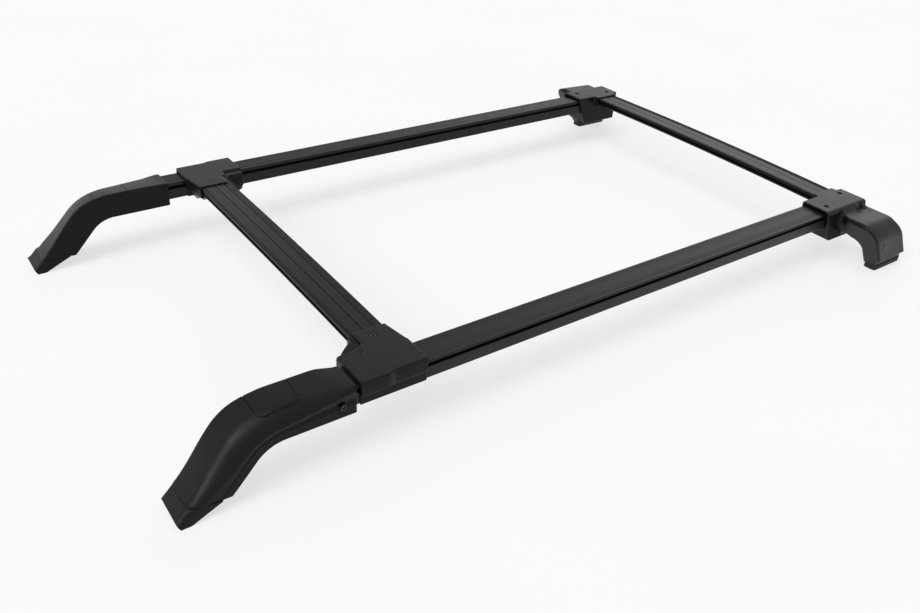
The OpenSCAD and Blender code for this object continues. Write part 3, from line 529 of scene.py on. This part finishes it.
def make_lids():
    """Hatch lids: the cover's own crown between the lid's edges, with a thickness and a softened rim."""
    ease_in = 0.5 - 0.5 * np.cos(np.linspace(0, np.pi, 90))
    u = HATCH_MID - HATCH_L / 2 + HATCH_L * ease_in
    upper, lower, across, height, half, soft = foot_frame(share_at(u))
    q = np.clip(np.abs(upper[:, 0] - HATCH_MID) - (HATCH_L / 2 - HATCH_R), 0, HATCH_R)
    y_out = HATCH_OUT - HATCH_R + np.sqrt(HATCH_R ** 2 - q ** 2)
    y_in = -half + LID_GAP
    y = y_in[:, None] + (y_out - y_in)[:, None] * (0.5 - 0.5 * np.cos(np.linspace(0, np.pi, 60)))
    inside = np.minimum(-lid_distance(upper[:, :1], y), y - y_in[:, None])
    skin = crown(y, height[:, None], half[:, None], soft[:, None])
    top = skin - 0.7 * (1 - smooth(inside / 1.1))
    low = skin - LID_T + 0.5
    section = np.concatenate([np.stack([y, top], -1), np.stack([y, low], -1)[:, ::-1]], 1)
    points = placed(swelled(section, share_at(u), height, half), lower, across)
    for side, name in ((-1, "left"), (1, "right")):
        verts, faces = wrapped(turned(points, side, FOOT_END), outward=side < 0)
        dressed("lid_" + name, verts, faces, covers_black, "hatch_" + name, "foot_hatch_" + name,
                40)


def make_caps():
    """Nose caps: shell sections that fan from the seam round to the tip, from the upper face to the sole."""
    upper, lower = (line[0] for line in foot_lines(np.array([1.0])))
    along = np.array([math.cos(LEG), -math.sin(LEG)])
    run = (SEAM_H - TIP_H) / math.sin(LEG)
    tip = upper + along * run
    back = lower + (upper - lower) * 15 / (upper[0] - lower[0])
    # Path of the sections' lower ends: down the back of the cap, along the sole, then under the nose
    ends = np.array([back - (0, 0.5), (lower[0] + 15, 24.5 - RAIL_TOP), (tip[0] - 22, -RAIL_TOP),
                     (tip[0] - 5, -RAIL_TOP)])
    t = np.concatenate([[0, 0.012, 0.03], np.linspace(0.06, 1, 40)])
    low = np.stack([np.interp(t, [0, 0.15, 0.8, 1], ends[:, k]) for k in (0, 1)], -1)
    face = upper + along * (0.5 + (run - 0.5) * t[:, None])
    across = face - low
    height = np.linalg.norm(across, axis=1)
    across /= height[:, None]
    rim = RIM * (1 - smooth(t / 0.03))
    half = NOSE_W / 2 - rim
    height = height - rim
    r_in = np.minimum(6 - 2 * t, height * 0.45)
    r_out = np.minimum(15 - 3 * t, height * 0.45)
    a, b = np.radians(np.linspace(180, 90, 10)), np.radians(np.linspace(90, 0, 20))
    y = np.concatenate([-half[:, None], (-half + r_in)[:, None] + r_in[:, None] * np.cos(a),
                        (half - r_out)[:, None] + r_out[:, None] * np.cos(b), half[:, None]], 1)
    h = np.concatenate([0 * half[:, None], (height - r_in)[:, None] + r_in[:, None] * np.sin(a),
                        (height - r_out)[:, None] + r_out[:, None] * np.sin(b), 0 * half[:, None]], 1)
    hollow = (height - 7) * (1 - smooth((t - 0.45) / 0.25))
    w = NOSE_W / 2 - WALL + 0.4
    inner_y = np.array([w, w, w - 3, 3 - w, -w, -w]) + 0 * half[:, None]
    inner_h = hollow[:, None] * np.array([0, 0.7, 1, 1, 0.7, 0])
    section = np.stack([np.concatenate([y, inner_y], 1), np.concatenate([h, inner_h], 1)], -1)
    points = placed(section, low, across)
    for side, name in ((-1, "left"), (1, "right")):
        verts, faces = wrapped(turned(points, side, FOOT_END), outward=side < 0)
        dressed("cap_" + name, verts, faces, caps_black, "rack", "nose_cap_" + name, 40)


# Moulded carriers and corners: the zero surface of a field of smoothly joined solids

CORNERS = np.array([[(c >> a) & 1 for a in range(3)] for c in range(8)])
EDGES = [(a, b) for a in range(8) for b in range(a + 1, 8) if np.abs(CORNERS[a] - CORNERS[b]).sum() == 1]


def moulded(field, lo, hi, step):
    """Mesh of field = 0: one point in each cell that the surface crosses, at the mean of the crossings of its
    edges, then moved along the field's slope onto zero; four cells round a crossed grid line make a face."""
    axes = [np.arange(a, b + step, step) for a, b in zip(lo, hi)]
    values = field(*np.meshgrid(*axes, indexing="ij")).astype(np.float64)
    size = np.array(values.shape) - 1
    inside = values < 0
    corner = [inside[c[0]:c[0] + size[0], c[1]:c[1] + size[1], c[2]:c[2] + size[2]] for c in CORNERS]
    crossed = np.any(corner, 0) & ~np.all(corner, 0)
    cells = np.argwhere(crossed)
    at = np.stack([values[tuple((cells + c).T)] for c in CORNERS], 1)
    total = np.zeros((len(cells), 3))
    count = np.zeros(len(cells))
    for a, b in EDGES:
        hit = (at[:, a] < 0) != (at[:, b] < 0)
        gap = np.where(hit, at[:, a] - at[:, b], 1)
        t = np.where(hit, at[:, a] / gap, 0)[:, None]
        total += hit[:, None] * (CORNERS[a] + t * (CORNERS[b] - CORNERS[a]))
        count += hit
    points = np.array([axis[0] for axis in axes]) + (cells + total / count[:, None]) * step
    shift = 0.25
    for _ in range(3):
        value = field(*points.T)
        slope = np.stack([field(*(points + d).T) - field(*(points - d).T) for d in np.eye(3) * shift], 1)
        slope /= 2 * shift
        move = value[:, None] * slope / np.maximum((slope ** 2).sum(1), 0.3)[:, None]
        points -= np.clip(move, -step * 0.3, step * 0.3)
    index = np.full(size, -1)
    index[crossed] = np.arange(len(cells))
    faces = []
    for axis in range(3):
        b, c = (axis + 1) % 3, (axis + 2) % 3
        low = np.moveaxis(inside, (axis, b, c), (0, 1, 2))
        grid = np.moveaxis(index, (axis, b, c), (0, 1, 2))
        change = low[:-1, 1:-1, 1:-1] != low[1:, 1:-1, 1:-1]
        i, j, k = np.nonzero(change)
        quad = np.stack([grid[i, j, k], grid[i, j + 1, k], grid[i, j + 1, k + 1], grid[i, j, k + 1]], 1)
        back = ~low[i, j + 1, k + 1]
        quad[back] = quad[back][:, ::-1]
        faces.append(quad)
    return points, np.concatenate(faces)


def join(a, b, k):
    """Union of two solids with a fillet of about k."""
    h = np.clip(0.5 + 0.5 * (b - a) / k, 0, 1)
    return b + (a - b) * h - k * h * (1 - h)


def cut(a, b, k):
    """Solid a without solid b, with the edge rounded by about k."""
    return -join(-a, b, k)


def both(a, b, k):
    """What two solids share, with the edge rounded by about k."""
    return -join(-a, -b, k)


def block(x, y, z, x0, x1, y0, y1, z0, z1, r):
    """Box between two corners, with edges rounded by r."""
    qx = np.abs(x - (x0 + x1) / 2) - (x1 - x0) / 2 + r
    qy = np.abs(y - (y0 + y1) / 2) - (y1 - y0) / 2 + r
    qz = np.abs(z - (z0 + z1) / 2) - (z1 - z0) / 2 + r
    out = np.sqrt(np.maximum(qx, 0) ** 2 + np.maximum(qy, 0) ** 2 + np.maximum(qz, 0) ** 2)
    return out + np.minimum(np.maximum(qx, np.maximum(qy, qz)), 0) - r


def post(x, y, z, cx, cy, r, z0, z1):
    """Upright cylinder."""
    return np.maximum(np.hypot(x - cx, y - cy) - r, np.abs(z - (z0 + z1) / 2) - (z1 - z0) / 2)


WING_LONG, WING_SHORT, CARRIER_HALF = 85, 48, 36
CARRIER_SIDE = BAR_W / 2 + 3.2
SLEEVE_REACH = 97
CARRIER_TOP = BAR_RISE + 5
SLEEVE_FLOOR = BAR_RISE - BAR_T - 5
CLAMP_Y = -SLEEVE_REACH + 25
BULGE_X, BULGE_Y, BULGE_R = 37, -38, 48.5
CARRIER_GRID, CARRIER_STEP = ((-54, -102, -45), (90, 42, 13)), 1.25
EDGE_JOG = 4.5


def carrier_field(x, y, z):
    """T-shaped carrier: one flush plate over the rail and the bar's end, with a soft jogged outer edge, a low
    strip beside the rail, a diagonal web to its short wing and a rounded bulge below its long wing."""
    half, top = CARRIER_HALF, CARRIER_TOP
    jog = EDGE_JOG * smooth((x - 14) / 20)
    lean = np.clip((y + SLEEVE_REACH) / (SLEEVE_REACH - half), 0, 1)
    # Plan of the plate: wings over the rail, sleeve over the bar, diagonal edge to the short wing
    wings = np.maximum(np.maximum(x - WING_LONG, -WING_SHORT - x),
                       np.maximum(y - half + 3.5 - jog, -half - y))
    diagonal = -CARRIER_SIDE - (WING_SHORT - CARRIER_SIDE) * lean - x
    neck = np.maximum(np.maximum(x - CARRIER_SIDE - 2 * lean, diagonal),
                      np.maximum(y, -SLEEVE_REACH - y))
    plan = join(wings, neck, 5)
    thick = np.maximum(z - top + 0.4, SLEEVE_FLOOR - z)
    body = both(plan, thick, 3.5)
    # Side wall over the slot, and the low strip that hides the rail's lower edge
    skirt = block(x, y - jog, z, -WING_SHORT + 0.5, WING_LONG - 0.5, -half, half - 4.2, -17, 0, 3)
    strip = block(x, y, z, -WING_SHORT + 1, WING_LONG - 0.3, -31.4, 31.4, -RAIL_D - 1.2, -14, 1.2)
    # Bulge under the long wing, and the facet that falls to it
    round_front = np.maximum(np.hypot(x - BULGE_X, y - BULGE_Y) - BULGE_R, x - WING_LONG + 2)
    bulge = both(both(round_front, z - top + 5, 6), -(z + RAIL_D - 10), 4)
    solid = join(join(join(body, skirt, 2), strip, 1.5), bulge, 3)
    facet = (x - CARRIER_SIDE + 8) * 0.60 + (z - top + 1) * 0.80
    solid = both(solid, join(facet, -(y + 56), 8), 3)
    lane = block(x, y, z, -300, 300, -RAIL_W / 2 - 1.8, RAIL_W / 2 + 1.8, -RAIL_D / 2, 1.7, 0.6)
    rail = block(x, y, z, -300, 300, -RAIL_W / 2 - 0.5, RAIL_W / 2 + 0.5, -300, 0.6, 0.6)
    solid = cut(cut(solid, lane, 0.5), rail, 0.5)
    bar = block(x, y, z, -BAR_W / 2 - 0.5, BAR_W / 2 + 0.5, -300, -RAIL_W / 2 - 1, BAR_RISE - BAR_T - 0.5,
                BAR_RISE + 2.6, 1.5)
    solid = cut(solid, bar, 0.8)
    dimple = post(x, y, z, 0, CLAMP_Y, 6.8, top - 2.4, top + 20)
    hole = post(x, y, z, 0, CLAMP_Y, 4.4, -50, top + 20)
    ends = np.maximum(z - top + 0.05, x - WING_LONG + 0.1)
    return np.maximum(cut(cut(solid, dimple, 1.2), hole, 0.5), ends)


def make_carriers():
    """Carriers: the zero surface of the carrier's field, the same part on both sides, turned half round."""
    points, faces = moulded(carrier_field, CARRIER_GRID[0], CARRIER_GRID[1], CARRIER_STEP)
    for side, name in ((-1, "left"), (1, "right")):
        dressed("carrier_" + name, half_turned(points, side, FRONT_BAR_X), faces.tolist(), covers_black,
                "front_bar", "carrier_cover_" + name, 60)


ARM_REACH, ARM_FRONT, ARM_BACK, ARM_TOP, ARM_R = 140, -48, 68, -8, 45
FOOT_INNER, INNER_R, FOOT_RAKE, PAD_T = 90, 25, 84, 12
BLOCK_BACK, BLOCK_OUT, CORNER_SLEEVE = 56, 40, 50
BLOCK_LOW, MOUTH_RAKE = -77, 0.5
MOUTH_SET = REAR_BAR_X - MOUTH
CORNER_SCREWS = ((-72, 11), (27, -19))
SOLE = -RAIL_TOP + PAD_T
SLANT_TOP = ARM_TOP - 10
KEYHOLE_X, KEYHOLE_Z = 8, -60
CORNER_GRID, CORNER_STEP = ((-106, -56, -141), (158, 146, 14)), 1.6


def corner_field(x, y, z):
    """Corner cover: a block with a raked mouth that takes the rail and the rear bar, and an arm that leaves
    it a step lower, arches over and falls to a foot that is raked to the rear."""
    half, top = CARRIER_HALF, CARRIER_TOP
    raked = x - MOUTH_RAKE * np.maximum(top - 12 - z, 0)
    body = block(x, y, z, -MOUTH_SET - 20, BLOCK_BACK, -half, BLOCK_OUT, BLOCK_LOW, top + 30, 4)
    body = both(body, -MOUTH_SET - raked, 3)
    hood = block(x, y, z, -CARRIER_SIDE, CARRIER_SIDE, -CORNER_SLEEVE, 0, SLEEVE_FLOOR, top + 30, 4)
    solid = both(join(body, hood, 7), z - top + 0.3, 3)
    round_y, round_z = y - BLOCK_OUT + 12, z - top + 12.3
    solid = both(solid, np.hypot(np.maximum(round_y, 0), np.maximum(round_z, 0)) - 12, 1)
    # Arm and foot: an outline across them, between two planes that lean to the rear
    xs = x - FOOT_RAKE * np.clip((SLANT_TOP - z) / (SLANT_TOP - SOLE), 0, 1.2)
    cy, cz = ARM_REACH - ARM_R, ARM_TOP - ARM_R
    side = np.interp(z, [SOLE, SOLE + 12, SOLE + 24], [ARM_REACH - 14, ARM_REACH - 13, ARM_REACH])
    fall = 3.5 * smooth((x - ARM_FRONT) / (ARM_BACK - ARM_FRONT))
    outer = np.where((y > cy) & (z > cz), np.hypot(y - cy, z - cz) - ARM_R,
                     np.maximum(z - ARM_TOP, y - side)) + fall
    iy, iz = FOOT_INNER - INNER_R, -70 - INNER_R
    under = np.interp(y, [20, 36, iy], [-50, -58, -70]) - z
    inner = np.where(y < iy, under,
                     np.where(z > iz, INNER_R - np.hypot(y - iy, z - iz), FOOT_INNER - y))
    width = np.maximum(ARM_FRONT - xs, xs - ARM_BACK) / (1 + 0.23 * smooth((SLANT_TOP - z) / 12))
    arm = both(both(outer, inner, 5), width, 6)
    arm = both(both(arm, SOLE - z, 2), 18 - y, 4)
    solid = join(solid, arm, 12)
    # Scoop between the block and the arm, and scallop in the block's outer edge
    solid = cut(solid, post(x, y, z, ARM_FRONT - 4, BLOCK_OUT + 7, 9, -40, 60), 6)
    solid = cut(solid, post(x, y, z, 26, BLOCK_OUT + 13, 16, ARM_TOP - 2, 60), 5)
    rail = block(x, y, z, -300, -18, -RAIL_W / 2 - 2.2, RAIL_W / 2 + 2.2, -RAIL_D - 2, 2.6, 2)
    solid = cut(solid, rail, 1)
    bar = block(x, y, z, -BAR_W / 2 - 0.5, BAR_W / 2 + 0.5, -300, -RAIL_W / 2 + 1, BAR_RISE - BAR_T - 0.6,
                BAR_RISE + 2.0, 1.5)
    solid = cut(solid, bar, 0.8)
    for sx, sy in CORNER_SCREWS:
        solid = cut(solid, post(x, y, z, sx, sy, 5.6, top - 5.5, top + 20), 1.2)
    key_x, key_z = x - KEYHOLE_X, z - KEYHOLE_Z
    key = np.minimum(np.hypot(key_x, key_z) - 4.2, np.maximum(np.abs(key_x) - 2.6, np.abs(key_z + 6) - 6))
    solid = cut(solid, np.maximum(key, ARM_REACH - 2.4 - y), 1)
    return np.maximum(np.maximum(solid, z - top + 0.05), y - ARM_REACH)


def make_corners():
    """Corner covers: the zero surface of the corner's field, mirrored on the left side."""
    points, faces = moulded(corner_field, CORNER_GRID[0], CORNER_GRID[1], CORNER_STEP)
    for side, name in ((-1, "left"), (1, "right")):
        tris = faces[:, ::-1] if side < 0 else faces
        dressed("corner_" + name, turned(points, side, REAR_BAR_X), tris.tolist(), covers_black, "rack",
                "corner_cover_" + name, 60)


CAD_FINISHES = (
    (alloy_grey, ("front_foot_bracket", "corner_bracket", "carrier_jaw")),
    (rubber_black, ("front_foot_pad", "rear_foot_pad")),
    (caps_black, ("carrier_glide",)),
    (steel_black, ("front_foot_screws", "carrier_bolt", "corner_screws")))


def finish_cad_nodes():
    """Materials of the nodes that are shown as built."""
    for material, starts in CAD_FINISHES:
        for name, node in nodes.items():
            if name.startswith(starts):
                node.data.materials.clear()
                node.data.materials.append(material)


# Lamps far away: name, azimuth from +Y towards +X, elevation and spread in degrees, and strength
LAMPS = (
    ("overhead lamp", 250.0, 62.0, 46.0, 1.1),
    ("front lamp", 262.0, 34.0, 24.0, 1.1),
    ("rear lamp", 62.0, 30.0, 34.0, 0.30))
SKY_SEEN, SKY_FILL = 1.0, 0.30
FLOOR_HALF = 14.0


def make_studio():
    """Pale floor, an even sky, and three soft lamps far away."""
    floor = bpy.data.meshes.new("floor")
    corners = [(a * FLOOR_HALF, b * FLOOR_HALF, 0) for a, b in ((-1, -1), (1, -1), (1, 1), (-1, 1))]
    floor.from_pydata(corners, [], [(0, 1, 2, 3)])
    floor.materials.append(studio_floor())
    ground = bpy.data.objects.new("floor", floor)
    bpy.context.scene.collection.objects.link(ground)
    world = bpy.data.worlds.new("studio")
    world.use_nodes = True
    bpy.context.scene.world = world
    tree = world.node_tree
    back = tree.nodes["Background"]
    back.inputs["Color"].default_value = (1, 1, 1, 1)
    path = tree.nodes.new("ShaderNodeLightPath")
    seen = path.outputs[BACKGROUND_RAYS[0]]
    for ray in BACKGROUND_RAYS[1:]:
        either = tree.nodes.new("ShaderNodeMath")
        either.operation = "MAXIMUM"
        tree.links.new(seen, either.inputs[0])
        tree.links.new(path.outputs[ray], either.inputs[1])
        seen = either.outputs[0]
    level = tree.nodes.new("ShaderNodeMapRange")
    level.inputs["To Min"].default_value = SKY_FILL
    level.inputs["To Max"].default_value = SKY_SEEN
    tree.links.new(seen, level.inputs["Value"])
    tree.links.new(level.outputs["Result"], back.inputs["Strength"])
    for name, azimuth, elevation, spread, power in LAMPS:
        lamp = bpy.data.lights.new(name, "SUN")
        lamp.angle = math.radians(spread)
        lamp.energy = power
        holder = bpy.data.objects.new(name, lamp)
        az, el = math.radians(azimuth), math.radians(elevation)
        towards = Vector((math.sin(az) * math.cos(el), math.cos(az) * math.cos(el), math.sin(el)))
        holder.rotation_euler = towards.to_track_quat("Z", "Y").to_euler()
        bpy.context.scene.collection.objects.link(holder)


def make_camera():
    """Camera at the photograph's viewpoint, turned by yaw, pitch and roll."""
    yaw, pitch, roll = (math.radians(a) for a in (CAMERA_YAW, CAMERA_PITCH, CAMERA_ROLL))
    ahead = Vector((math.sin(yaw) * math.cos(pitch), math.cos(yaw) * math.cos(pitch), -math.sin(pitch)))
    level = Vector((math.cos(yaw), -math.sin(yaw), 0))
    upright = level.cross(ahead)
    right = level * math.cos(roll) + upright * math.sin(roll)
    up = upright * math.cos(roll) - level * math.sin(roll)
    data = bpy.data.cameras.new("camera")
    data.lens = CAMERA_LENS
    data.sensor_width = 36
    camera = bpy.data.objects.new("camera", data)
    turn = Matrix((right, up, -ahead)).transposed().to_4x4()
    camera.matrix_world = Matrix.Translation(CAMERA_PLACE) @ turn
    bpy.context.scene.collection.objects.link(camera)
    bpy.context.scene.camera = camera


make_camera()
make_studio()
make_rails()
make_bars()
make_feet()
make_lids()
make_caps()
make_carriers()
make_corners()
finish_cad_nodes()
bpy.context.scene.view_settings.view_transform = "Standard"

bpy.context.view_layer.update()
